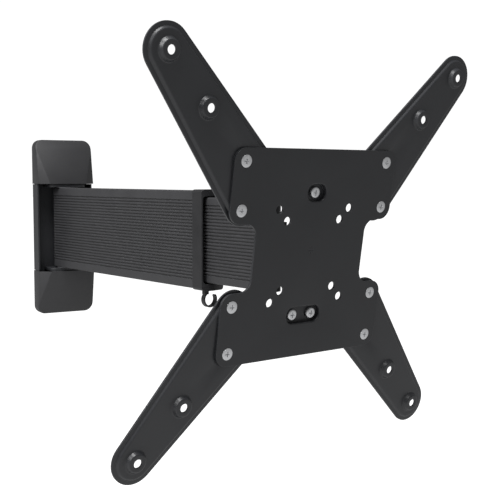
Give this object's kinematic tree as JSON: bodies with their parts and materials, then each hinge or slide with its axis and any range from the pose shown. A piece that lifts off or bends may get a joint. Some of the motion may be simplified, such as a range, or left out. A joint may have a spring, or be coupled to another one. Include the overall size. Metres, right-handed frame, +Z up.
{
  "type": "full motion tv wall mount",
  "caption": "Wall mount for a flat screen: a ribbed telescoping arm that swivels and extends, with a head that turns, tilts and levels a plate with spread arms.",
  "frame": {"origin": "centre of the wall channel's back face, on the wall", "axes": "+Z up, -Y straight out of the wall towards the room, +X to the right as seen from the room"},
  "size_m": [0.4554, 0.6396, 0.4451],
  "materials": {
    "coated_steel": "satin powder coat",
    "coated_aluminium": "matt black coat",
    "cover_plastic": "fine grained",
    "black_plastic": "satin",
    "black_steel": "black oxide",
    "zinc_steel": "bright zinc plate",
    "slide_plastic": "smooth"
  },
  "bodies": {
    "wall_bracket": {"wall_plate": "coated_steel", "upper_ear": "coated_steel", "lower_ear": "coated_steel", "upper_cover": "cover_plastic", "lower_cover": "cover_plastic", "hinge_pin": "zinc_steel"},
    "outer_arm": {"hinge_washers": "slide_plastic", "hinge_bushes": "slide_plastic", "outer_tube": "coated_aluminium", "collar": "black_plastic", "collar_screw": "black_steel", "front_glide": "slide_plastic", "stop_screw": "zinc_steel", "cable_hook": "black_plastic"},
    "inner_arm": {"inner_tube": "coated_aluminium", "rear_glide": "slide_plastic", "arm_end": "coated_aluminium", "end_rivets": "black_steel", "swivel_pin": "zinc_steel"},
    "swivel_head": {"swivel_washers": "slide_plastic", "swivel_block": "coated_aluminium"},
    "tilt_head": {"tilt_bolt": "zinc_steel", "tilt_knob": "black_plastic", "tilt_washers": "slide_plastic", "tilt_bracket": "coated_steel", "level_bolts": "zinc_steel", "level_nuts": "zinc_steel"},
    "screen_plate": {"centre_plate": "coated_steel", "arm_top_left": "coated_steel", "arm_top_right": "coated_steel", "arm_bottom_left": "coated_steel", "arm_bottom_right": "coated_steel", "arm_screws": "zinc_steel", "arm_nuts": "zinc_steel"}
  },
  "joints": [
    {"name": "wall_swivel", "type": "hinge", "parent": "wall_bracket", "child": "outer_arm", "pos_m": [0, -0.0324, 0], "axis": [0, 0, 1], "range_deg": [-88.7, 71.3]},
    {"name": "arm_slide", "type": "slide", "parent": "outer_arm", "child": "inner_arm", "axis": [0.1513, -0.9885, 0], "range_m": [-0.075, 0]},
    {"name": "head_swivel", "type": "hinge", "parent": "inner_arm", "child": "swivel_head", "pos_m": [0.07268, -0.50737, 0], "axis": [0, 0, 1], "range_deg": [-80, 80]},
    {"name": "head_tilt", "type": "hinge", "parent": "swivel_head", "child": "tilt_head", "pos_m": [0.07684, -0.53456, 0], "axis": [0.9885, 0.1513, 0], "range_deg": [-14.2, 5.8]},
    {"name": "level_roll", "type": "hinge", "parent": "tilt_head", "child": "screen_plate", "pos_m": [0.08281, -0.57359, -0.00639], "axis": [0.1493, -0.9758, -0.1599], "range_deg": [-3, 3]}
  ]
}
